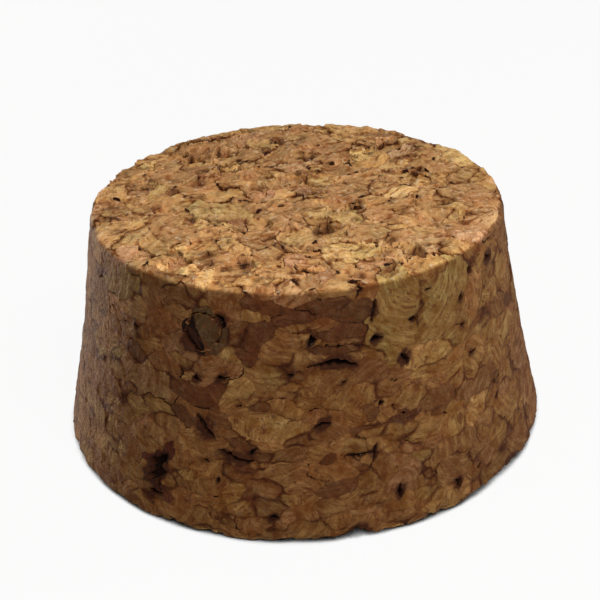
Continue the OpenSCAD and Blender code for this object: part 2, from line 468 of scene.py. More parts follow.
FLANK_GRANULES = (
    (-9, 9.7, 7.6, 2.1, -7, Tone.STRAW), (-15.8, 12.9, 3.4, 2, 18, Tone.STRAW),
    (-15.5, 8.2, 4.4, 1.1, -9, Tone.BARK), (-29, 12.5, 3.4, 0.7, -8, Tone.BARK),
    (-14, 15.7, 2.2, 1.2, -30, Tone.BARK), (24, 9.5, 2, 1.1, -45, Tone.BARK),
    (5, 7, 1.6, 0.9, 0, Tone.BARK), (-13, 6.1, 4.6, 0.7, 4, Tone.BARK), (7, 15.7, 4.6, 1.1, 0, Tone.BARK),
    (13, 9.1, 3, 0.9, 0, Tone.HAZEL), (11, 10.2, 2.2, 1.8, 40, Tone.HONEY),
    (-21, 12.4, 2, 1.5, 60, Tone.BARK), (-11, 11.4, 2.4, 0.9, 5, Tone.HAZEL),
    (-4, 7.6, 4.6, 1.2, 8, Tone.RUSSET), (-20, 10, 2.4, 1.4, -40, Tone.HAZEL),
    (-36.5, 10, 4.2, 1.5, -10, Tone.SAND), (-5, 16.4, 3.2, 2.4, 0, Tone.TAN),
    (-3, 13.3, 2.4, 0.9, 0, Tone.HONEY), (-4, 11.4, 3.4, 1.6, -15, Tone.HONEY),
    (-27.5, 8.4, 1.4, 1.1, 0, Tone.SAND), (-53, 8.2, 3, 1.1, 0, Tone.OLIVE),
    (-52, 12.6, 2.2, 1.2, 20, Tone.OLIVE), (-33, 3.9, 1.6, 1.1, 0, Tone.HONEY),
    (-28, 5, 2, 1.4, 20, Tone.SAND), (-17, 4, 2.8, 1.6, 15, Tone.HONEY),
    (-4, 3.8, 2.4, 1.3, -10, Tone.SAND), (-20.6, 2.9, 1.3, 1.5, 0, Tone.SAND),
    (-44, 2, 2.2, 1.2, 0, Tone.SAND), (-22, 19.6, 2.6, 1.1, 0, Tone.OLIVE),
    (24.6, 17.6, 7.6, 5.4, 85, Tone.OLIVE), (37.5, 17.4, 7.4, 7.4, 75, Tone.OLIVE),
    (32, 13.9, 5.4, 2.4, 3, Tone.STRAW), (25.5, 10.8, 2.4, 2, 20, Tone.SAND),
    (11, 10.2, 1.3, 1.6, 0, Tone.SAND), (5, 9.2, 4, 1.3, 10, Tone.TAN), (38, 7.6, 3.6, 2.8, 25, Tone.SAND),
    (45, 7.5, 3.6, 2.4, 15, Tone.STRAW), (51, 4.3, 3.4, 2.8, 60, Tone.HONEY),
    (27, 5.9, 2.2, 1.3, -15, Tone.OLIVE), (17, 6.2, 3, 1.4, 80, Tone.TAN),
    (54, 13, 2.4, 2.2, 0, Tone.OLIVE), (49, 17, 4.4, 2.8, 75, Tone.SAND),
    (46, 11.6, 4.2, 2.6, 60, Tone.SAND), (57, 10.6, 3.2, 2.4, 70, Tone.SAND),
    # Dark granules from 17 mm up in these rows darken the band just under the narrow rim: partly dark cork,
    # partly painted shadow of the rim
    (7, 13.3, 3.4, 1.5, 5, Tone.TAN), (5, 19.7, 4.8, 1.7, 4, Tone.BARK),
    (12.5, 19.1, 3.4, 1.9, -10, Tone.UMBER), (9, 17.3, 5.2, 1.5, 3, Tone.UMBER),
    (-9.5, 19.5, 4.4, 1.5, -7, Tone.BARK), (-1.5, 18.8, 3.4, 1.8, 12, Tone.UMBER),
    (-12, 17.2, 4.2, 2.2, 25, Tone.UMBER), (-33.6, 6.4, 1.8, 1.3, 60, Tone.MAROON),
    (-36.8, 5.4, 2.6, 1.3, 25, Tone.MAROON), (-36, 3.8, 2.4, 1.4, 80, Tone.MAROON),
    # Round the knot: a near-black granule that is painted shade in its ring gap, and a pale one that is a
    # painted glint
    (-34, 2.6, 2.8, 1, -18, Tone.MAROON), (-26.6, 16.8, 3.9, 1.8, -60, Tone.SOOT),
    (-25.8, 18, 0.7, 0.6, 0, Tone.GLINT), (15, 13.6, 3.4, 2.2, -12, Tone.RUSSET),
    (25, 9.4, 4, 1, -5, Tone.BARK), (15, 10.6, 1.6, 1.8, 0, Tone.HAZEL),
    (68, 13.5, 4.5, 1.4, -20, Tone.BARK), (35, 3.5, 4, 3, 15, Tone.TAN),
    (-15, 17.3, 3.4, 2.4, 10, Tone.HAZEL), (-45, 13.8, 2.6, 1.8, 0, Tone.BARK),
    (-30, 9.8, 3.4, 1.3, -25, Tone.UMBER), (-35, 13.7, 3.6, 1.5, -8, Tone.RUSSET),
    (-27, 11.7, 5.4, 1.5, -15, Tone.BARK), (-10, 7.5, 2.2, 1.1, -12, Tone.HAZEL),
    (-37, 17, 3.4, 2.2, 10, Tone.RUSSET), (-33, 19.7, 3, 1.6, 0, Tone.HAZEL),
    (-23.7, 17.2, 3.6, 4.2, 0, Tone.KNOT), (-46, 5.5, 4, 2.2, -25, Tone.TAN),
    (20, 2.2, 3.2, 1.8, 20, Tone.HONEY), (-12, 1.6, 3.2, 1.5, 8, Tone.TAN),
    (6, 4.6, 3.4, 1.6, 12, Tone.HAZEL),
)

END_GRANULES = (
    (9, -0.3, 2.8, 1.9, 20, Tone.STRAW), (10.5, -1.9, 1.6, 1.2, 60, Tone.SAND),
    (8.2, -7.2, 2.4, 1.3, 15, Tone.STRAW), (6.3, -6.2, 1.6, 0.9, 0, Tone.SAND),
    (-7.9, -4.8, 2.2, 1.3, 80, Tone.STRAW), (-9.3, -10, 2, 1, 70, Tone.STRAW),
    (-4, -13, 2.3, 2, 0, Tone.OLIVE), (-1.8, 5.3, 2.1, 1.6, 0, Tone.SAND),
    (-7.3, -15.2, 2.4, 1.8, 60, Tone.STRAW), (4, -11.5, 4.2, 3.6, 0, Tone.STRAW),
    (7.2, 7.6, 4, 2.2, 50, Tone.HONEY), (2.5, 4.3, 3.6, 2.3, 15, Tone.HONEY),
    (-5.5, -5.8, 4, 1.1, -5, Tone.SAND), (-13.5, -10, 3.2, 2.6, 20, Tone.ROSE),
    (14.2, -9.3, 3.4, 2.6, 30, Tone.ROSE), (-0.2, -12.4, 2.2, 1.6, 80, Tone.ROSE),
    (3, 10.5, 4.6, 2.8, 5, Tone.RUSSET), (11.5, 1.8, 3, 1.8, 35, Tone.SAND),
    (10, 9.6, 3, 2.4, 0, Tone.ROSE), (1, 1, 2.6, 2.4, 60, Tone.ROSE), (7.5, -4.6, 3, 2, 10, Tone.RUSSET),
    (-4, -16.2, 6, 1.7, -4, Tone.HONEY), (-12.5, 2.5, 3, 2.4, 60, Tone.OLIVE),
    (-15.5, -1.8, 2.8, 2.4, 80, Tone.TAN), (2.2, -15.5, 3, 1.3, 80, Tone.HAZEL),
    (10, -14.5, 4, 2.8, 35, Tone.HONEY), (15.2, -1, 4.6, 4.2, 80, Tone.TAN),
    (-10.9, -11.7, 2.2, 2.2, 0, Tone.SAND), (-9, 7.5, 3.6, 2.4, 20, Tone.HAZEL),
    (-4, 10.5, 3.4, 2.2, 30, Tone.TAN), (-6.5, 0.8, 3.6, 2.2, 15, Tone.HONEY),
    (13.6, 4.8, 3.4, 2.4, -15, Tone.TAN), (-9.5, 12.5, 5, 2.6, 25, Tone.TAN),
    (8.5, 13.8, 5, 2.2, -20, Tone.HAZEL), (-0.5, 14.6, 5.6, 2, 0, Tone.TAN),
    (-2, 0, 4.4, 2, 15, Tone.SAND), (-9.5, -13.2, 3.4, 1.6, -30, Tone.STRAW),
)

# How matt a granule of a tone is, from 0 to 1, where it isn't as matt as most
MATTNESS = {Tone.KNOT: 0.8, Tone.GLINT: 0.0, Tone.MAROON: 0.7}


@dataclass
class Granulate:
    """Cork granules packed through the body, each a flattened, turned ellipsoid.

    A place belongs to the granule that it lies deepest in, measured in that granule's own
    half sizes, so that the granules meet along ragged outlines as pressed ones do. The
    clearance of marked granules, the cutoff past which a granule owns nothing, and the two
    distances that count where none is near are in half sizes too. The layer in which the
    middles of thrown granules lie is given in radii.
    """

    section: Section
    seed: int = 5
    radii: tuple[float, ...] = (2.2 * MM, 1.7 * MM, 1.25 * MM, 0.9 * MM)
    tries: tuple[int, ...] = (600, 3000, 9000, 12000)
    throws: int = 12
    layer: tuple[float, float] = (-0.2, 1.1)
    size_spread: tuple[float, float] = (0.8, 1.2)
    shape: tuple[float, float, float] = (1.6, 0.9, 0.55)
    shape_spread: tuple[float, float] = (0.8, 1.25)
    lean: float = 0.3
    closeness: float = 0.86
    clearance: float = 1.3
    cutoff: float = 2.6
    marked_firmness: int = 3
    unowned: tuple[float, float] = (8.0, 9.0)
    widest_margin: float = 2 * MM
    open_share: Pair = Pair(0.1, 0.62)
    ring_reach: float = 7.0 * MM
    ring_spread: tuple[float, float] = (0.4, 1.0)
    likeness: float = 0.45
    lightness_spread: float = 0.05
    hue_spread: float = 0.02
    strays: tuple[tuple[float, float, int], ...] = (
        (0.30 * MM, 4.0 * MM, 11),
        (0.13 * MM, 1.1 * MM, 12),
        (0.06 * MM, 0.5 * MM, 13),
    )
    tones: tuple[tuple[Tone, float], ...] = (
        (Tone.STRAW, 0.06),
        (Tone.OLIVE, 0.08),
        (Tone.SAND, 0.16),
        (Tone.HONEY, 0.2),
        (Tone.ROSE, 0.1),
        (Tone.TAN, 0.18),
        (Tone.RUSSET, 0.12),
        (Tone.HAZEL, 0.1),
    )
    centres: np.ndarray = field(init=False)
    frames: np.ndarray = field(init=False)
    firmness: np.ndarray = field(init=False)
    reach: np.ndarray = field(init=False)
    tints: np.ndarray = field(init=False)
    rings: np.ndarray = field(init=False)
    lift: np.ndarray = field(init=False)
    tilt: np.ndarray = field(init=False)

    def depth(self, points: np.ndarray) -> np.ndarray:
        """Measures how deep points lie in the body.

        Args:
            points: places in space, in metres.

        Returns:
            How far each lies below the nearest end or the flank, in metres.
        """
        body = self.section
        flank = body.wide_r + (body.narrow_r - body.wide_r) * (points[:, 2] / body.length)
        below_end = np.minimum(points[:, 2], body.length - points[:, 2])
        return np.minimum(below_end, flank - np.hypot(points[:, 0], points[:, 1]))

    def marked(self) -> tuple[list[np.ndarray], list[np.ndarray], list[Tone]]:
        """Lays out the listed granules.

        Returns:
            Their middles, their frames and their tones.
        """
        centres, frames, tones = [], [], []
        for number, row in enumerate(FLANK_GRANULES + END_GRANULES):
            granule = MarkedGranule(*row)
            if number < len(FLANK_GRANULES):
                bearing, height = math.radians(granule.across), granule.up * MM
                radius, _ = self.section.flank_point(height / self.section.length)
                centre = (radius * math.sin(bearing), -radius * math.cos(bearing), height)
                axes = (math.cos(bearing), math.sin(bearing), 0.0), (0.0, 0.0, 1.0)
            else:
                centre = (granule.across * MM, granule.up * MM, self.section.length)
                axes = (1.0, 0.0, 0.0), (0.0, 1.0, 0.0)
            along, across = np.array(axes)
            turn = math.radians(granule.turn)
            first = along * math.cos(turn) + across * math.sin(turn)
            second = across * math.cos(turn) - along * math.sin(turn)
            half_long, half_wide = granule.length / 2 * MM, granule.width / 2 * MM
            third = np.cross(first, second)
            centres.append(np.array(centre))
            frames.append(np.stack((first / half_long, second / half_wide, third / half_wide)))
            tones.append(granule.tone)
        return centres, frames, tones

    def pack(self) -> None:
        """Throws granules into the outer layer of the body, large ones first."""
        rng = np.random.default_rng(self.seed)
        centres, frames, tones = self.marked()
        marked_centres, marked_frames = np.array(centres), np.array(frames)
        flat = np.array((1.0, 1.0, 1 / self.shape[2]))
        held = marked_count = len(centres)
        squashed = np.empty((held + sum(self.tries), 3))
        radii = np.empty(len(squashed))
        squashed[:held] = np.array(centres) * flat
        radii[:held] = [1 / np.cbrt(np.linalg.det(f)) for f in frames]
        names, weights = zip(*self.tones)
        box = np.array((self.section.wide_r, self.section.wide_r, self.section.length))
        for radius, tries in zip(self.radii, self.tries):
            thrown = rng.uniform((-1, -1, 0), (1, 1, 1), (tries * self.throws, 3)) * box
            depth = self.depth(thrown)
            thrown = thrown[(depth > self.layer[0] * radius) & (depth < self.layer[1] * radius)][:tries]
            for place in thrown:
                size = radius * rng.uniform(*self.size_spread)
                gap = np.linalg.norm(squashed[:held] - place * flat, axis=1)
                if np.any(gap < self.closeness * (radii[:held] + size)):
                    continue
                local = np.einsum("nij,nj->ni", marked_frames, place - marked_centres)
                if np.any(np.linalg.norm(local, axis=1) < self.clearance):
                    continue
                squashed[held] = place * flat
                radii[held] = size
                held += 1
                centres.append(place)
                turn = Matrix.Rotation(rng.uniform(0, math.pi), 3, "Z")
                lean = Matrix.Rotation(rng.normal(0, self.lean), 3, "X")
                half = size * np.array(self.shape) * rng.uniform(*self.shape_spread, 3)
                frames.append(np.array(lean @ turn) / half[:, None])
                tones.append(names[rng.choice(len(names), p=weights)])
        self.centres = np.array(centres)
        self.frames = np.array(frames)
        self.firmness = np.where(np.arange(len(centres)) < marked_count, self.marked_firmness, 1)
        self.reach = self.cutoff / np.linalg.norm(self.frames, axis=2).min(axis=1)
        self.vary(tones, marked_count, rng)

    def vary(self, tones: list[Tone], marked_count: int, rng: np.random.Generator) -> None:
        """Gives every granule its own tint, growth rings, lift and tilt.

        Args:
            tones: the granules' tones, the marked ones first.
            marked_count: number of listed granules.
            rng: what the packing drew its numbers from.
        """
        count = len(tones)
        shade = rng.normal(1.0, self.lightness_spread, (count, 1))
        shade = shade * rng.normal(1.0, self.hue_spread, (count, 3))
        self.tints = np.array([linear(t.value) for t in tones])
        thrown = self.tints[marked_count:, :3]
        thrown += self.likeness * (thrown.mean(axis=0) - thrown)
        self.tints[:, :3] *= shade
        self.tints[:, 3] = [MATTNESS.get(tone, 1.0) for tone in tones]
        away = rng.normal(size=(count, 3))
        far = self.ring_reach * rng.uniform(*self.ring_spread, (count, 1))
        away *= far / np.linalg.norm(away, axis=1, keepdims=True)
        self.rings = self.centres + away
        self.lift = rng.normal(0, 1, count)
        self.tilt = rng.normal(0, 1, (count, 3))

    def ragged(self, points: np.ndarray) -> np.ndarray:
        """Moves points a little, so that straight meetings between granules come out ragged.

        Args:
            points: places in space, in metres.

        Returns:
            The places that are read instead.
        """
        moved = points
        for amount, wavelength, seed in self.strays:
            moved = moved + amount * wander(points, wavelength, seed)
        return moved

    def distance(self, owners: np.ndarray, points: np.ndarray) -> np.ndarray:
        """Distance of each point from its owner's middle, in that granule's half sizes."""
        local = np.einsum("nij,nj->ni", self.frames[owners], points - self.centres[owners])
        return np.linalg.norm(local, axis=1) ** self.firmness[owners]

    def owners(self, points: np.ndarray) -> tuple[np.ndarray, np.ndarray]:
        """Finds the granule that each point belongs to.

        Args:
            points: ragged places, in metres.

        Returns:
            The owners' numbers, and how far each point is from the meeting with the next
            granule, in metres.
        """
        best = np.full(len(points), np.inf)
        second = np.full(len(points), np.inf)
        owner = np.zeros(len(points), dtype=np.int64)
        for number, (centre, frame_rows, reach) in enumerate(zip(self.centres, self.frames, self.reach)):
            offset = points - centre
            near = np.flatnonzero(np.einsum("ij,ij->i", offset, offset) < reach * reach)
            away = np.linalg.norm(offset[near] @ frame_rows.T, axis=1) ** self.firmness[number]
            first = away < best[near]
            second[near] = np.where(first, best[near], np.minimum(second[near], away))
            best[near] = np.where(first, away, best[near])
            owner[near[first]] = number
        size = self.reach[owner] / self.cutoff
        margin = (np.minimum(second, self.unowned[1]) - np.minimum(best, self.unowned[0])) * size / 2
        return owner, np.minimum(margin, self.widest_margin)

    def opening(self, first: np.ndarray, second: np.ndarray, sawn: np.ndarray) -> np.ndarray:
        """How far the seam between two granules has come open.

        Args:
            first: numbers of granules.
            second: numbers of the granules that they meet.
            sawn: 1 where they meet on a sawn end, 0 on the flank.

        Returns:
            Numbers from 0, closed, to 1.
        """
        low, high = np.minimum(first, second), np.maximum(first, second)
        chance = np.sin(low * HASH[0] + high * HASH[1]) * HASH[2]
        chance -= np.floor(chance)
        share = self.open_share.at(sawn)
        return np.clip((chance - 1 + share) / share, 0, 1) * (chance > 1 - share)


def edges_of(triangles: np.ndarray) -> tuple[np.ndarray, np.ndarray]:
    """Lists the edges of triangles.

    Args:
        triangles: three vertex numbers for each.

    Returns:
        Pairs of vertex numbers, each once, and for each triangle the numbers of the edges that
        start at its three corners.
    """
    pairs = np.sort(np.stack((triangles, np.roll(triangles, -1, axis=1)), axis=2).reshape(-1, 2), axis=1)
    keys, side = np.unique(pairs[:, 0].astype(np.int64) << 32 | pairs[:, 1], return_inverse=True)
    return np.stack((keys >> 32, keys & 0xFFFFFFFF), axis=1), side.reshape(-1, 3)


@dataclass
class Skin:
    """The finished surface: the turned blank, pressed onto the solid and cut along the granules.

    A facing is the height of a unit normal, from 0 on a wall to 1 on the top.
    """

    blank: TurnedBlank
    granulate: Granulate
    solid: BVHTree
    # Pressing onto the solid, with places that stray sideways
    reach: float = 1.0 * MM
    deepest: float = 4.0 * MM
    sunk_below: float = 0.11 * MM
    bed_turn: float = 2.2
    end_facing: float = 0.6
    stray: float = 0.09 * MM
    fine_stray: float = 0.6
    end_stray: float = 0.2 * MM
    rim_facing: tuple[float, float] = (0.25, 0.999)
    # Which triangles are divided, and how close to a vertex an edge may be cut
    divided_facing: float = 0.9
    divided_opening: float = 0.45
    undivided_below: float = -0.5
    cut_margin: float = 0.12
    # Where the sawn ends go over into the flank
    saw_stray: float = 0.1
    foot_share: float = 0.65
    sawn_facing: tuple[float, float] = (0.4, 0.6)
    # How granules stand, and how deep the seams between them are
    tilt: Pair = Pair(0.012, 0.122)
    lift: Pair = Pair(0.02 * MM, 0.09 * MM)
    lowest_and_highest: tuple[float, float] = (-0.3 * MM, 0.07 * MM)
    seam: Pair = Pair(0.02 * MM, 0.04 * MM)
    crevice: Pair = Pair(0.28 * MM, 0.42 * MM)
    crevice_patches: Patches = Patches(0.45, 1.5, 1.4 * MM, 41)
    junction_pit: float = 0.35 * MM
    junction_opening: float = 0.35
    # Crumbs of the sawn ends, and grit
    crumb: float = 0.85 * MM
    crumb_stray: float = 0.55 * MM
    crumb_step: float = 0.07 * MM
    crumb_level: float = 0.6
    crease_depth: float = 0.12 * MM
    crease_patches: Patches = Patches(0.25, 1.6, 1.6 * MM, 54)
    grit: Pair = Pair(0.05 * MM, 0.08 * MM)
    # Worn rims, the walls of torn beds, and the stain round pores
    rim_wear: float = 0.32 * MM
    rim_middle: float = 0.55
    rim_spread: float = 0.4
    rim_chips: Patches = Patches(0.3, 1.5, 1.7 * MM, 53, 1.6)
    foot_height: float = 1.0 * MM
    foot_edge: tuple[float, float] = (0.97, 0.77)
    foot_chips: Patches = Patches(0.2, 3.2, 1.7 * MM, 58, 1.4)
    bed_slope: Patches = Patches(0.75, 1.5, 1.1 * MM, 57)
    stain_depth: tuple[float, float] = (0.4 * MM, 0.6 * MM)
    stain_strength: float = 5.0
    sharp_angle: float = 50.0
    # What the skin is made of, vertex by vertex
    places: np.ndarray = field(init=False)
    normals: np.ndarray = field(init=False)
    depth: np.ndarray = field(init=False)
    ragged: np.ndarray = field(init=False)
    owner: np.ndarray = field(init=False)
    edge: np.ndarray = field(init=False)
    openness: np.ndarray = field(init=False)
    crease: np.ndarray = field(init=False)
    triangles: np.ndarray = field(init=False)

    @staticmethod
    def vertex_normals(places: np.ndarray, triangles: np.ndarray) -> np.ndarray:
        """Finds the normals at the vertices.

        Args:
            places: the vertices.
            triangles: three vertex numbers for each.

        Returns:
            Unit normals, weighted by the triangles' areas.
        """
        corners = places[triangles]
        facing = np.cross(corners[:, 1] - corners[:, 0], corners[:, 2] - corners[:, 0])
        normals = np.zeros_like(places)
        for k in range(3):
            np.add.at(normals, triangles[:, k], facing)
        return unit(normals)

    def pressed_depth(self, places: np.ndarray, normals: np.ndarray) -> np.ndarray:
        """How far below each place the solid's surface lies, straight in along the normal.

        The places are moved a little sideways first, so that brinks come out crumbly.

        Args:
            places: places on the turned blank, in metres.
            normals: unit normals there.

        Returns:
            Depths in metres, a little under zero where the solid stands proud of the blank.
        """
        on_end = self.on_end(normals)[:, None]
        fine = self.fine_stray * (1 - on_end) * wander(places, wavelength=0.5 * MM, seed=32)
        away = self.stray * (wander(places, wavelength=1.3 * MM, seed=31) + fine)
        away += self.end_stray * on_end * wander(places, wavelength=2.0 * MM, seed=33)
        away -= normals * np.einsum("ij,ij->i", away, normals)[:, None]
        upright = np.abs(normals[:, 2])
        rim = (upright > self.rim_facing[0]) & (upright < self.rim_facing[1])
        moved = places + away * ~rim[:, None]
        depth = np.zeros(len(places))
        cast = self.solid.ray_cast
        for k, (place, normal) in enumerate(zip(moved, normals)):
            outward = Vector(normal)
            hit = cast(Vector(place) + outward * self.reach, -outward, self.reach + self.deepest)
            depth[k] = hit[3] - self.reach if hit[0] is not None else 0.0
        return depth

    def survey(self, places: np.ndarray, normals: np.ndarray) -> None:
        """Adds vertices: presses them and finds the granule that each belongs to.

        A torn bed shows the granules below, so that its own pattern is read further round.

        Args:
            places: places on the turned blank, in metres.
            normals: normals there, of any length.
        """
        normals = unit(normals)
        depth = self.pressed_depth(places, normals)
        turned = places @ np.array(Matrix.Rotation(self.bed_turn, 3, "Z"))
        read = np.where((depth > self.sunk_below)[:, None], turned, places)
        ragged = self.granulate.ragged(read)
        owner, edge = self.granulate.owners(ragged)
        added = dict(places=places, normals=normals, depth=depth, ragged=ragged, owner=owner, edge=edge)
        for name, values in added.items():
            held = getattr(self, name, None)
            setattr(self, name, values if held is None else np.concatenate((held, values)))

    def divide(self, marked: np.ndarray, edges: np.ndarray, side: np.ndarray) -> None:
        """Halves the marked edges and divides the triangles on them.

        Args:
            marked: whether each edge is halved.
            edges: pairs of vertex numbers.
            side: numbers of the three edges of each triangle.
        """
        new = np.full(len(edges), -1)
        new[marked] = len(self.places) + np.arange(np.count_nonzero(marked))
        start, end = edges[marked].T
        self.survey((self.places[start] + self.places[end]) / 2, self.normals[start] + self.normals[end])
        halved = marked[side]
        count = halved.sum(axis=1)
        pieces = [self.triangles[count == 0]]
        firsts = halved.argmax(axis=1), halved.argmin(axis=1), np.zeros(len(side), int)
        for wanted, first in enumerate(firsts, start=1):
            rows = np.flatnonzero(count == wanted)
            turn = (first[rows, None] + np.arange(3)) % 3
            a, b, c = self.triangles[rows[:, None], turn].T
            x, y, z = new[side[rows[:, None], turn]].T
            pieces += [
                np.stack(corners, axis=1)
                for corners in (
                    ((a, x, c), (x, b, c)),
                    ((a, b, y), (a, y, z), (z, y, c)),
                    ((a, x, z), (x, b, y), (z, y, c), (x, y, z)),
                )[wanted - 1]
            ]
        self.triangles = np.concatenate(pieces)

    def refine(self) -> None:
        """Divides the triangles of the narrow end, and those along open seams and brinks."""
        edges, side = edges_of(self.triangles)
        start, end = edges.T
        span = np.linalg.norm(self.places[start] - self.places[end], axis=1)
        on_top = np.minimum(self.normals[start, 2], self.normals[end, 2]) > self.divided_facing
        longest = np.zeros(len(edges), dtype=bool)
        longest[side[np.arange(len(side)), span[side].argmax(axis=1)]] = True
        self.divide(on_top & longest, edges, side)

        edges, side = edges_of(self.triangles)
        start, end = edges.T
        sunk = self.depth > self.sunk_below
        middle = (self.places[start] + self.places[end]) / 2
        normals = unit(self.normals[start] + self.normals[end])
        at_middle = self.pressed_depth(middle, normals) > self.sunk_below
        brink = (sunk[start] != sunk[end]) | (sunk[start] != at_middle)
        opening = self.granulate.opening(self.owner[start], self.owner[end], self.on_end(normals))
        seam = (self.owner[start] != self.owner[end]) & (opening > self.divided_opening)
        busy = (brink | seam) & (normals[:, 2] > self.undivided_below)
        crossed = busy[side].any(axis=1)
        marked = np.zeros(len(edges), dtype=bool)
        marked[side[crossed].ravel()] = True
        self.divide(marked, edges, side)

    def wall_share(self, edges: np.ndarray, sunk: np.ndarray, rounds: int = 7) -> np.ndarray:
        """Finds the brink of a recess along each edge that has one end sunk in it.

        Args:
            edges: pairs of vertex numbers.
            sunk: whether each vertex is in a recess.
            rounds: number of halvings.

        Returns:
            The brink's place as a share of each edge.
        """
        low, high = np.zeros(len(edges)), np.ones(len(edges))
        first = sunk[edges[:, 0]]
        for _ in range(rounds):
            middle = (low + high) / 2
            places = part_way(self.places, edges, middle[:, None])
            normals = unit(part_way(self.normals, edges, middle[:, None]))
            same = (self.pressed_depth(places, normals) > self.sunk_below) == first
            low = np.where(same, middle, low)
            high = np.where(same, high, middle)
        return (low + high) / 2

    def pieces(self, split: np.ndarray, side: np.ndarray) -> tuple[np.ndarray, np.ndarray, np.ndarray]:
        """Divides the triangles whose edges are cut in two or three places.

        Args:
            split: whether each edge is cut.
            side: numbers of the three edges of each triangle.

        Returns:
            The new triangles, their owners, and for each triangle that is cut in three places
            the numbers of the cuts.
        """
        known, cuts = len(self.places), np.count_nonzero(split)
        new = np.full(len(split), -1)
        new[split] = known + np.arange(cuts)
        crossings = split[side].sum(axis=1)
        whole = self.triangles[crossings == 0]
        pieces, owners = [whole], [self.owner[whole[:, 0]]]

        two = np.flatnonzero(crossings == 2)
        lone = np.argmin(split[side[two]], axis=1)
        corner = np.stack([(lone + k + 2) % 3 for k in range(3)], axis=1)
        a, b, c = self.triangles[two[:, None], corner].T
        x, _, y = new[side[two[:, None], corner]].T
        pieces += [np.stack(t, axis=1) for t in ((a, x, y), (x, b, c), (x, c, y))]
        owners += [self.owner[k] for k in (a, b, b)]

        three = np.flatnonzero(crossings == 3)
        a, b, c = self.triangles[three].T
        x, y, z = new[side[three]].T
        g = known + cuts + np.arange(len(three))
        round_g = (a, x, g), (a, g, z), (b, y, g), (b, g, x), (c, z, g), (c, g, y)
        pieces += [np.stack(t, axis=1) for t in round_g]
        owners += [self.owner[k] for k in (a, a, b, b, c, c)]
        return np.concatenate(pieces), np.concatenate(owners), new[side[three]] - known

    def cut(self) -> None:
        """Cuts every triangle that spans two or three granules, or the brink of a recess."""
        sunk = self.depth > self.sunk_below
        label = self.owner * 2 + sunk
        edges, side = edges_of(self.triangles)
        split = label[edges[:, 0]] != label[edges[:, 1]]
        crossed = edges[split]
        start, end = crossed.T
        mine, other = self.owner[start], self.owner[end]
        at_start, at_end = (
            self.granulate.distance(mine, self.ragged[k]) - self.granulate.distance(other, self.ragged[k])
            for k in (start, end)
        )
        share = np.clip(at_start / np.minimum(at_start - at_end, -1e-9), 0, 1)
        brink = sunk[start] != sunk[end]
        share[brink] = self.wall_share(crossed[brink], sunk)
        share = np.clip(share, self.cut_margin, 1 - self.cut_margin)[:, None]
        places = part_way(self.places, crossed, share)
        normals = part_way(self.normals, crossed, share)
        depth = part_way(self.depth, crossed, share[:, 0])
        depth[brink] = np.minimum(self.depth[start], self.depth[end])[brink]
        edge = np.where(brink, self.edge[crossed].mean(axis=1), 0)
        opening = self.granulate.opening(mine, other, self.on_end(normals)) * ~brink * (mine != other)
        opening *= self.crevice_patches.at(places)

        self.triangles, self.owner, meet = self.pieces(split, side)
        widest = opening[meet].max(axis=1)
        widest += widest > self.junction_opening
        self.openness = np.concatenate((np.zeros(len(self.places)), opening, widest))
        self.places = np.concatenate((self.places, places, places[meet].mean(axis=1)))
        self.normals = unit(np.concatenate((self.normals, normals, normals[meet].mean(axis=1))))
        self.depth = np.concatenate((self.depth, depth, depth[meet].min(axis=1)))
        self.edge = np.concatenate((self.edge, edge, edge[meet].min(axis=1)))

    def on_end(self, normals: np.ndarray) -> np.ndarray:
        """Which normals are those of an end, as 1 or 0."""
        return (np.abs(normals[:, 2]) > self.end_facing).astype(float)

    def corner_mean(self, values: np.ndarray) -> np.ndarray:
        """Averages values over the triangle corners that share a vertex.

        Args:
            values: one number for each corner of each triangle.

        Returns:
            One number for each vertex.
        """
        corners = self.triangles.ravel()
        total = np.zeros(len(self.places))
        np.add.at(total, corners, values.ravel())
        return total / np.maximum(np.bincount(corners, minlength=len(self.places)), 1)

    def sawn(self) -> np.ndarray:
        """Finds how far each vertex belongs to a sawn end.

        Returns:
            Numbers from 0 on the flank to 1 on the ends.
        """
        stray = self.saw_stray * lumps(self.places, size=1.2 * MM, seed=51)
        upright = np.maximum(self.normals[:, 2], -self.foot_share * self.normals[:, 2])
        return ramp(upright + stray, *self.sawn_facing)

    def raised(self, sawn: np.ndarray) -> np.ndarray:
        """How far each vertex stands out, in metres, where granules are lifted and tilted.

        Args:
            sawn: how far each vertex belongs to a sawn end.

        Returns:
            Heights that are averaged where granules meet.
        """
        owners = np.repeat(self.owner, 3)
        corners = self.triangles.ravel()
        offset = self.places[corners] - self.granulate.centres[owners]
        height = self.granulate.lift[owners] * self.lift.at(sawn[corners])
        lean = np.einsum("ni,ni->n", self.granulate.tilt[owners], offset)
        height += lean * self.tilt.at(sawn[corners])
        return self.corner_mean(np.clip(height, *self.lowest_and_highest))

    def roughen(self, sawn: np.ndarray) -> np.ndarray:
        """Breaks the sawn ends up into crumbs, and makes the flank gritty.

        Args:
            sawn: how far each vertex belongs to a sawn end.

        Returns:
            How far each vertex stands out, in metres.
        """
        rough, self.crease = np.zeros((2, len(self.places)))
        ends = np.flatnonzero(sawn > 0)
        places = self.places[ends]
        flaky = places + self.crumb_stray * wander(places, wavelength=2.4 * MM, seed=55)
        creases, levels = crumbs(flaky, self.crumb)
        creases *= self.crease_patches.at(places)
        self.crease[ends] = creases * sawn[ends]
        rough[ends] = self.crumb_step * (levels - self.crumb_level) - self.crease_depth * creases
        rough[ends] += self.grit.end * lumps(places, size=0.7 * MM, seed=52)
        rough[ends] *= sawn[ends]
        ground = np.flatnonzero(sawn < 1)
        grit = self.grit.flank * lumps(self.places[ground], size=0.7 * MM, seed=56)
        rough[ground] += (1 - sawn[ground]) * grit
        return rough

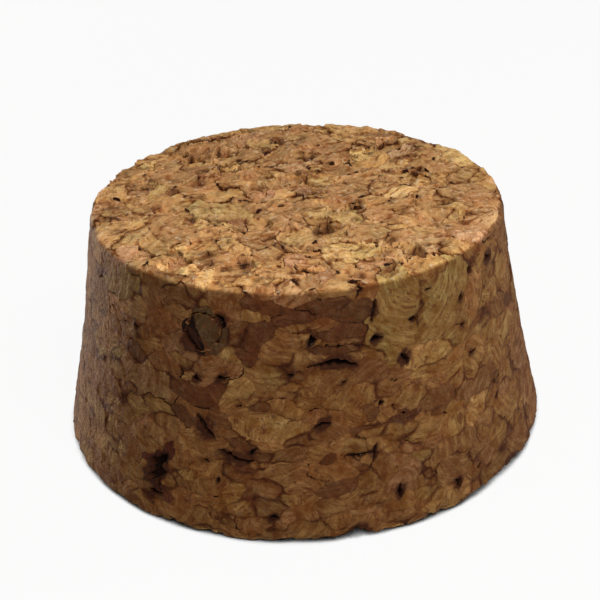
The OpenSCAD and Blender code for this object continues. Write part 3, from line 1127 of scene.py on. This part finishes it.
    def wear(self) -> np.ndarray:
        """Wears down the narrow rim and chips the foot's edge.

        Returns:
            How far each vertex is worn down, in metres.
        """
        upright = np.abs(self.normals[:, 2])
        wear = np.zeros(len(self.places))
        rim = ramp(np.abs(upright - self.rim_middle), self.rim_spread, 0.0)
        worn = np.flatnonzero((rim > 0) & (self.normals[:, 2] > 0))
        wear[worn] = rim[worn] * self.rim_wear * self.rim_chips.at(self.places[worn])
        foot = np.flatnonzero((self.places[:, 2] < self.foot_height) & (upright < self.foot_edge[0]))
        low = 1 - self.places[foot, 2] / self.foot_height
        chipped = self.foot_chips.at(self.places[foot]) * low
        wear[foot] = self.rim_wear * chipped * ramp(upright[foot], *self.foot_edge)
        return wear

    def finished(self) -> np.ndarray:
        """Gives every vertex its final place.

        Returns:
            Places with every recess pressed in, its walls sloped on the ends, each granule
            lifted and tilted, open seams parted and the surface roughened and worn.
        """
        sawn = self.sawn()
        parted = np.clip(self.openness, 0, 1) * self.crevice.at(sawn)
        parted += (self.openness > 1) * self.junction_pit
        parted += (self.edge == 0) * self.seam.at(sawn)
        slope = np.maximum(self.depth - self.spread(self.depth, rounds=4), 0)
        slope *= sawn * self.bed_slope.at(self.places)
        level = self.raised(sawn) + self.roughen(sawn) + slope - parted - self.wear() - self.depth
        places = self.places + self.normals * level[:, None]
        places[:, 2] = np.maximum(places[:, 2], 0.0)  # nothing reaches into the floor
        return places

    def spread(self, values: np.ndarray, rounds: int) -> np.ndarray:
        """Averages the vertices' values with their neighbours', time after time.

        Args:
            values: one number for each vertex.
            rounds: number of times to average.

        Returns:
            The smoothed numbers.
        """
        pairs = np.concatenate([self.triangles[:, [k, (k + 1) % 3]] for k in range(3)])
        ties = np.bincount(pairs.ravel(), minlength=len(values))
        for _ in range(rounds):
            near = np.bincount(pairs[:, 0], values[pairs[:, 1]], len(values))
            near += np.bincount(pairs[:, 1], values[pairs[:, 0]], len(values))
            values = near / ties
        return values

    def hollowness(self, places: np.ndarray) -> np.ndarray:
        """How far each vertex's final place lies below its surroundings, in metres."""
        level = np.einsum("ij,ij->i", places - self.places, self.normals)
        return self.spread(level, rounds=24) - level

    def stain(self) -> np.ndarray:
        """How strongly the bark round pores has stained each vertex, from 0 to 1."""
        deep = ramp(self.depth, *self.stain_depth)
        return np.clip(self.stain_strength * self.spread(deep, rounds=9), 0, 1)

    def build(self, finish: bpy.types.Material) -> bpy.types.Object:
        """Makes the finished skin.

        Args:
            finish: the cork.

        Returns:
            The skin's object, with the attributes that the finish reads.
        """
        places, self.triangles = self.blank.build(finish)
        self.survey(places, self.vertex_normals(places, self.triangles))
        log.info("blank: %d triangles", len(self.triangles))
        self.refine()
        log.info("refined: %d triangles", len(self.triangles))
        self.cut()
        places = self.finished()
        mesh = bpy.data.meshes.new("cork_skin")
        mesh.from_pydata(places, [], self.triangles)
        mesh.materials.append(finish)
        mesh.shade_smooth()
        number = "FLOAT", "POINT", "value"
        for name, (kind, domain, key), values in (
            ("tint", ("FLOAT_COLOR", "FACE", "color"), self.granulate.tints[self.owner]),
            ("rings", ("FLOAT_VECTOR", "FACE", "vector"), self.granulate.rings[self.owner]),
            ("seam_distance", number, self.edge / MM),
            ("openness", number, self.openness),
            ("hollowness", number, self.hollowness(places) / MM),
            ("stain", number, self.stain()),
            ("crease", number, self.crease),
            ("sawn", number, self.sawn()),
        ):
            attribute = mesh.attributes.new(name, kind, domain)
            attribute.data.foreach_set(key, np.ascontiguousarray(values, dtype=np.float32).ravel())
        mesh.set_sharp_from_angle(angle=math.radians(self.sharp_angle))
        return placed("cork_skin", mesh)


@dataclass(frozen=True)
class AgglomeratedCork:
    """Raw cork granulate, pressed with a clear binder, ground on the flank and sawn on the ends.

    The eye sees each granule in nearly the same tan with its own fine growth rings, brown
    seams between some of them, reddish bark round the pores, and nearly black pores; the dark
    of open seams, crevices, hollows and pores is partly painted shade. Sawing leaves the ends
    pale and crumbly, with painted highlights on the crumbs, and grinding and handling leave the
    flank smoother and somewhat darker, with a little dust that shows at a glancing angle. Most
    of the flank's darkness is painted shade, as it faces away from the overhead light.
    """

    name: str = "agglomerated_cork"
    # Size, detail and roughness of each noise. Lumps and mottle are denser and lighter cork
    # within a granule, flecks are its lenticels, and curls and crumbs are what the saw leaves.
    # Cork's cells are 0.04 mm across, too fine to show, so that the grain is drawn coarser.
    noises: tuple[tuple[str, float, float, float], ...] = (
        ("lump", 2.4 * MM, 2.0, 0.5),
        ("mottle", 1.1 * MM, 2.0, 0.55),
        ("fleck", 0.7 * MM, 1.5, 0.5),
        ("crumb", 0.45 * MM, 2.0, 0.6),
        ("curl", 0.9 * MM, 1.5, 0.5),
        ("grain", 0.14 * MM, 2.0, 0.6),
    )
    # How strong each mark is on the ground flank and on the sawn ends
    shares: tuple[tuple[str, Pair], ...] = (
        ("crumb_weight", Pair(0.15, 0.3)),
        ("mottle_weight", Pair(0.57, 0.62)),
        ("ring_share", Pair(0.48, 0.38)),
        ("sliver_share", Pair(0.5, 0.0)),
        ("even_share", Pair(0.0, 0.15)),
        ("pale_share", Pair(0.1, 0.46)),
        ("tear_share", Pair(0.15, 0.25)),
        ("line_share", Pair(0.3, 0.8)),
        ("gash_share", Pair(0.05, 1.0)),
        ("hollow_share", Pair(1.0, 0.35)),
        ("relief", Pair(0.6, 0.55)),
    )
    # Growth rings come about two widths apart, so a little under a millimetre, and break off
    # after about a length. A lump bends them by some widths.
    ring_width: float = 0.4 * MM
    ring_length: float = 2.2 * MM
    ring_bend: float = 3.0
    # Millimetres, as the skin's attributes are
    seam_width: float = 0.16
    seam_shade_width: float = 0.5
    gash_width: float = 1.6
    pore_raggedness: float = 0.55
    sawn_tone: str = "dcb488"
    # Darkens the flank: a little from grinding and handling, mostly painted shade, as the flank faces away
    # from the overhead light
    ground_shade: str = "a9a39f"
    dust_color: str = "ecdcb8"
    # What multiplies the granules' own tones where a mark is missing and where it is full
    casts: tuple[tuple[str, str, str], ...] = (
        ("light", "b89a76", WHITE),
        ("hue", "fff4ec", "fafff4"),
        # Painted shade: darker along the seams between granules
        ("shade", WHITE, "b88e6c"),
        ("sliver", WHITE, "c0a08c"),
        ("ring", WHITE, "a88468"),
        ("blot", WHITE, "a06e48"),
    )
    # What covers them: pale torn crumbs with painted highlights, dashes of bark, crevices darkened
    # as painted shade, reddish brown and painted shade in shallow hollows, darker brown in and round
    # deep pores, the pores' own dark brown with painted shade deeper in, and painted glints off dried
    # binder in them
    stains: tuple[tuple[str, str], ...] = (
        # Partly pale torn cork, partly painted highlights on the crumbs
        ("pale", "f2dcb8"),
        ("dash", "7c4620"),
        # Painted shade in open seams, gashes, tears and creases, and dark lines along the other seams
        ("crevice", "280c03"),
        # Reddish brown with painted shade, where the surface lies a little sunk
        ("halo", "743a18"),
        # Darker brown in and round deep pores
        ("soot", "4c2414"),
        # The pores' own dark brown, with painted shade deeper in
        ("pore", "26130b"),
        # Painted highlights: pale glints in the pores
        ("glint", "b8a48c"),
    )
    # Cork is matt, and only knots and dried binder shine. Its IOR is that of its wax and suberin.
    roughness: float = 0.85
    gloss: float = 0.4
    least_pore: float = 0.4
    ior: float = 1.45
    bump_height: float = 0.32 * MM

    def sources(self, add: partial) -> SimpleNamespace:
        """Adds what the marks are drawn from.

        Args:
            add: adds a node to the material's tree.

        Returns:
            The skin's attributes, the noises, the growth rings' lines, and the marks' shares.
        """
        cork = SimpleNamespace()
        place = add("ShaderNodeTexCoord").outputs["Object"]
        tint = add(ATTRIBUTE, attribute_name="tint").outputs
        cork.tint, cork.mattness = tint["Color"], tint["Alpha"]
        rings = add(ATTRIBUTE, attribute_name="rings").outputs["Vector"]
        for name in ("seam_distance", "openness", "hollowness", "stain", "crease", "sawn"):
            setattr(cork, name, add(ATTRIBUTE, attribute_name=name).outputs["Fac"])
        for name, size, detail, roughness in self.noises:
            settings = {"Vector": place, "Scale": 1 / size, "Detail": detail, "Roughness": roughness}
            setattr(cork, name, add(NOISE, settings).outputs["Fac"])
        for name, (flank, end) in self.shares:
            setattr(cork, name, add(MATH, cork.sawn, end - flank, flank, operation="MULTIPLY_ADD"))

        # Growth rings lie about a place near each granule, and break off
        away = add("ShaderNodeVectorMath", place, rings, operation="DISTANCE")
        across = add(MATH, away, 1 / self.ring_width, operation="MULTIPLY")
        across = add(MATH, cork.lump, self.ring_bend, across, operation="MULTIPLY_ADD")
        across = add("ShaderNodeCombineXYZ", across, across)
        per_length = (1 / self.ring_length,) * 3
        ringed = add("ShaderNodeVectorMath", place, per_length, across, operation="MULTIPLY_ADD")
        settings = {"Vector": ringed, "Scale": 1.0, "Detail": 1.2, "Roughness": 0.45}
        cork.lines = add(NOISE, settings).outputs["Fac"]
        return cork

    def outlines(self, add: partial, cork: SimpleNamespace) -> None:
        """Adds where each mark starts and is full, and the sums that the other marks start from.

        Args:
            add: adds a node to the material's tree.
            cork: what the marks are drawn from, to which the results are added.
        """
        # Rings and curled tears wind along where their noise crosses its middle
        winding, curled = (
            add(MATH, add(MATH, values, 0.5, operation="SUBTRACT"), operation="ABSOLUTE")
            for values in (cork.lines, cork.curl)
        )
        # Ramps: the values, where the ramp starts and ends, and what it gives there if not 0 and 1
        for name, values, *span in (
            ("ridge", winding, 0.06, 0.015),
            ("drawn", cork.mottle, 0.42, 0.54),
            ("hue", cork.lump, 0.35, 0.65),
            ("patchy", cork.lump, 0.46, 0.6),
            ("seam_shade", cork.seam_distance, self.seam_shade_width, 0.0),
            ("seam_line", cork.seam_distance, self.seam_width, 0.0),
            ("sliver_width", cork.lump, 0.5, 0.72, 0.0, 0.48),
            ("dark_line", cork.lines, 0.47, 0.39),
            ("flecked", cork.fleck, 0.5, 0.58),
            ("pale_crumb", cork.crumb, 0.58, 0.75),
            ("tear_line", curled, 0.035, 0.01),
            ("torn", cork.mottle, 0.5, 0.56),
            ("level", cork.hollowness, 0.12, 0.03),
            ("spangle", cork.crumb, 0.66, 0.72),
        ):
            setattr(cork, name, add(RAMP, values, *span))

        # Weighted sums: the start, and the values that are added to it with their weights
        uneven = self.pore_raggedness
        for name, total, *terms in (
            ("fine", 0.0, (cork.lines, 0.25), (cork.crumb, cork.crumb_weight)),
            ("sliver", cork.sliver_width, (cork.curl, 0.5), (cork.seam_distance, -1.0)),
            ("blot", -0.3, (cork.mottle, 1.6)),
            ("faint", 0.08, (cork.patchy, cork.line_share)),
            ("gash", cork.seam_distance, (cork.curl, self.gash_width)),
            ("gape", cork.openness, (cork.crumb, 0.8)),
            ("hollow", cork.hollowness, (cork.crumb, uneven), (cork.grain, uneven), (-1.0, uneven)),
            ("soot", cork.stain, (cork.crumb, 0.9)),
            ("polish", self.roughness - self.gloss, (cork.mattness, self.gloss)),
        ):
            for values, weight in terms:
                total = add(MATH, values, weight, total, operation="MULTIPLY_ADD")
            setattr(cork, name, total)
        cork.light = add(MATH, cork.mottle, cork.mottle_weight, cork.fine, operation="MULTIPLY_ADD")
        cork.sunk = add(MATH, cork.hollow, cork.hollow_share, operation="MULTIPLY")

    def marks(self, add: partial, cork: SimpleNamespace) -> None:
        """Adds how strong each mark is.

        Args:
            add: adds a node to the material's tree.
            cork: the marks' outlines, to which the results are added.
        """
        for name, values, *span in (
            ("light", cork.light, 0.38, 0.62),
            ("sliver", cork.sliver, 0.16, 0.34),
            ("gash", cork.gash, 0.475 * self.gash_width, 0.4 * self.gash_width),
            ("gape", cork.gape, 0.5, 0.85),
            # Halo and pore darken where the surface lies sunk below its surroundings: partly painted shade
            ("halo", cork.sunk, 0.05, 0.18),
            ("pore", cork.hollow, 0.17, 0.45, 0.0, 0.9),
            ("soot", cork.soot, 0.9, 1.2, 0.0, 0.85),
        ):
            setattr(cork, name, add(RAMP, values, *span))
        cork.blot = add(MATH, cork.blot, cork.stain, operation="MULTIPLY", use_clamp=True)
        matt = add(MATH, cork.mattness, self.least_pore, operation="MAXIMUM")

        # Products: rings show most on the flank; pale crumbs with painted highlights, and tears and gashes
        # darkened as painted shade, on the ends
        for name, product, *factors in (
            ("shade", cork.seam_shade, cork.patchy),
            ("ring", cork.ridge, cork.drawn, cork.ring_share),
            ("sliver", cork.sliver, cork.sliver_share),
            ("pale", cork.pale_crumb, cork.pale_share),
            ("dash", cork.dark_line, cork.flecked, 0.8),
            ("tear", cork.tear_line, cork.torn, cork.tear_share),
            ("line", cork.seam_line, cork.faint),
            # Gashes and creases are darkened as painted shade
            ("gash", cork.gash, cork.gash_share, cork.level),
            ("fold", cork.crease, 0.75, cork.level),
            ("halo", cork.halo, 0.85),
            ("soot", cork.soot, cork.hollow_share),
            # Painted highlights: pale glints in the pores
            ("glint", cork.pore, matt, cork.spangle),
            ("pore", cork.pore, matt),
        ):
            for factor in factors:
                product = add(MATH, product, factor, operation="MULTIPLY")
            setattr(cork, name, product)

        # Crevices are wide where a seam has come open, and a faint broken line elsewhere; the dark of open
        # seams, gashes, tears and creases is painted shade
        cork.crevice = cork.line
        for other in (cork.gape, cork.gash, cork.tear, cork.fold):
            cork.crevice = add(MATH, cork.crevice, other, operation="MAXIMUM")

    def color(self, add: partial, cork: SimpleNamespace) -> bpy.types.Node:
        """Adds the colour: the granules' own, casts that shade it, and stains that cover it.

        Args:
            add: adds a node to the material's tree.
            cork: the marks.

        Returns:
            The node that gives the colour.
        """
        own = {SHARE: cork.even_share, FIRST: cork.tint, SECOND: linear(self.sawn_tone)}
        color = add(MIX, own, data_type="RGBA")
        for mark, bare, full in self.casts:
            cast = {SHARE: getattr(cork, mark), FIRST: linear(bare), SECOND: linear(full)}
            shaded = {SHARE: 1.0, FIRST: color, SECOND: add(MIX, cast, data_type="RGBA")}
            color = add(MIX, shaded, data_type="RGBA", blend_type="MULTIPLY")
        for mark, stain in self.stains:
            covered = {SHARE: getattr(cork, mark), FIRST: color, SECOND: linear(stain)}
            color = add(MIX, covered, data_type="RGBA")
        # The flank's darkening: a little from grinding and handling, mostly painted shade
        flank_darkening = {SHARE: cork.sawn, FIRST: linear(self.ground_shade), SECOND: linear(WHITE)}
        finished = {SHARE: 1.0, FIRST: color, SECOND: add(MIX, flank_darkening, data_type="RGBA")}
        return add(MIX, finished, data_type="RGBA", blend_type="MULTIPLY")

    def build(self) -> bpy.types.Material:
        """Builds the material.

        Returns:
            The cork.
        """
        material = bpy.data.materials.new(self.name)
        add = cleared(material)
        cork = self.sources(add)
        self.outlines(add, cork)
        self.marks(add, cork)
        height = cork.crumb
        for values, weight in ((cork.tear, -0.5), (cork.lines, 0.15), (cork.grain, 0.25)):
            height = add(MATH, values, weight, height, operation="MULTIPLY_ADD")
        relief = {"Height": height, "Distance": self.bump_height, "Strength": cork.relief}
        settings = {
            "Base Color": self.color(add, cork),
            "Roughness": cork.polish,
            "Normal": add("ShaderNodeBump", relief),
            "IOR": self.ior,
            "Specular IOR Level": 0.12,
            "Sheen Weight": 0.02,
            "Sheen Roughness": 0.5,
            "Sheen Tint": linear(self.dust_color),
        }
        add("ShaderNodeOutputMaterial", add("ShaderNodeBsdfPrincipled", settings))
        return material


@dataclass(frozen=True)
class Studio:
    """Pale floor, soft light and the camera.

    A lamp is its name, its place and size in metres, and its power in watts.
    """

    distance: float = 115.3 * MM
    elevation: float = 28.49
    roll: float = -2.52
    focal_px: float = 1248.6
    frame_px: float = 600.0
    sensor_width: float = 36.0
    aim_below: float = 0.08 * MM
    floor_color: str = "bcbab6"
    floor_half: float = 1.5
    paper_glow: float = 0.93
    surround: float = 0.3
    contact: float = 1.2 * MM
    contact_shade: tuple[float, float] = (0.34, 0.62)
    lamps: tuple[tuple[str, tuple[float, float, float], float, float], ...] = (
        ("overhead", (0.022, -0.083, 0.11), 0.09, 0.154),
        ("left", (-0.205, 0.18, 0.012), 0.05, 1.3),
        ("right", (0.25, 0.03, 0.09), 0.14, 0.42),
    )

    def camera(self, middle: Vector) -> None:
        """Places the camera, which looks down at the front of the stopper.

        Args:
            middle: the point that it looks at.
        """
        data = bpy.data.cameras.new("camera")
        data.sensor_width = self.sensor_width
        data.lens = self.focal_px / self.frame_px * data.sensor_width
        data.clip_start = 1 * MM
        camera = placed("camera", data)
        rise = math.radians(self.elevation)
        camera.location = middle + self.distance * Vector((0, -math.cos(rise), math.sin(rise)))
        turn = Matrix.Rotation(math.radians(90 - self.elevation), 4, "X")
        camera.rotation_euler = (turn @ Matrix.Rotation(math.radians(self.roll), 4, "Z")).to_euler()
        bpy.context.scene.camera = camera

    def floor(self) -> bpy.types.Object:
        """Lays the floor, of matt paper: it spreads light evenly, with a painted shadow only under the foot.

        Returns:
            The floor.
        """
        material = bpy.data.materials.new("matt_paper")
        add = cleared(material)
        path = add("ShaderNodeLightPath").outputs
        paper = add("ShaderNodeBsdfDiffuse", linear(self.floor_color))
        shelter = add("ShaderNodeAmbientOcclusion", {"Distance": self.contact}, samples=8)
        # The camera sees white paper, with a painted shadow only where the foot keeps the light out
        shelter = add(RAMP, shelter.outputs["AO"], *self.contact_shade)
        white = add("ShaderNodeEmission", linear(WHITE), shelter)
        seen = add(MATH, path["Is Camera Ray"], self.paper_glow, operation="MULTIPLY")
        look = add("ShaderNodeMixShader", seen, paper, white)
        add("ShaderNodeOutputMaterial", look)
        mesh = bpy.data.meshes.new("floor")
        half = self.floor_half
        corners = (-half, -half, 0), (half, -half, 0), (half, half, 0), (-half, half, 0)
        mesh.from_pydata(corners, [], [(0, 1, 2, 3)])
        mesh.materials.append(material)
        return placed("floor", mesh)

    def light(
        self, name: str, place: tuple[float, float, float], size: float, power: float, aim: Vector
    ) -> None:
        """Hangs one square soft light.

        Args:
            name: the lamp's name.
            place: its middle, in metres.
            size: its side, in metres.
            power: its power, in watts.
            aim: the point that it faces.
        """
        data = bpy.data.lights.new(name, "AREA")
        data.size = size
        data.energy = power
        lamp = placed(name, data)
        lamp.location = place
        lamp.rotation_euler = (Vector(place) - aim).to_track_quat("Z", "Y").to_euler()

    def world(self) -> None:
        """Sets an even white surround."""
        world = bpy.data.worlds.new("surround")
        add = cleared(world)
        path = add("ShaderNodeLightPath").outputs
        # The camera sees it white, and it lights the stopper less
        seen = add(MATH, path["Is Camera Ray"], self.surround, operation="MAXIMUM")
        add("ShaderNodeOutputWorld", add("ShaderNodeBackground", linear(WHITE), seen))
        bpy.context.scene.world = world

    def build(self, middle: Vector) -> bpy.types.Object:
        """Sets up camera, floor, lights and world.

        Args:
            middle: the middle of the stopper.

        Returns:
            The floor.
        """
        middle = middle - Vector((0, 0, self.aim_below))
        self.camera(middle)
        self.world()
        for name, place, size, power in self.lamps:
            self.light(name, place, size, power, middle)
        bpy.context.scene.view_settings.view_transform = "Standard"
        return self.floor()


def solid_surface() -> BVHTree:
    """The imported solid's surface, for casting onto."""
    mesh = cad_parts[NODE].data
    return BVHTree.FromPolygons([v.co for v in mesh.vertices], [p.vertices for p in mesh.polygons])


def main() -> None:
    """Builds the stopper's looks and the studio round it."""
    logging.basicConfig(level=logging.INFO, format="%(message)s")
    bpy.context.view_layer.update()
    section = Section()
    granulate = Granulate(section)
    granulate.pack()
    log.info("granulate: %d granules", len(granulate.centres))
    cork = AgglomeratedCork().build()
    skin = Skin(TurnedBlank(section), granulate, solid_surface()).build(cork)
    log.info("%s: %d triangles", skin.name, len(skin.data.polygons))
    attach(skin, "root")
    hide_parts(NODE)
    floor = Studio().build(Vector((0, 0, section.length / 2)))
    log.info("%s: laid", floor.name)


if __name__ == "__main__":
    main()
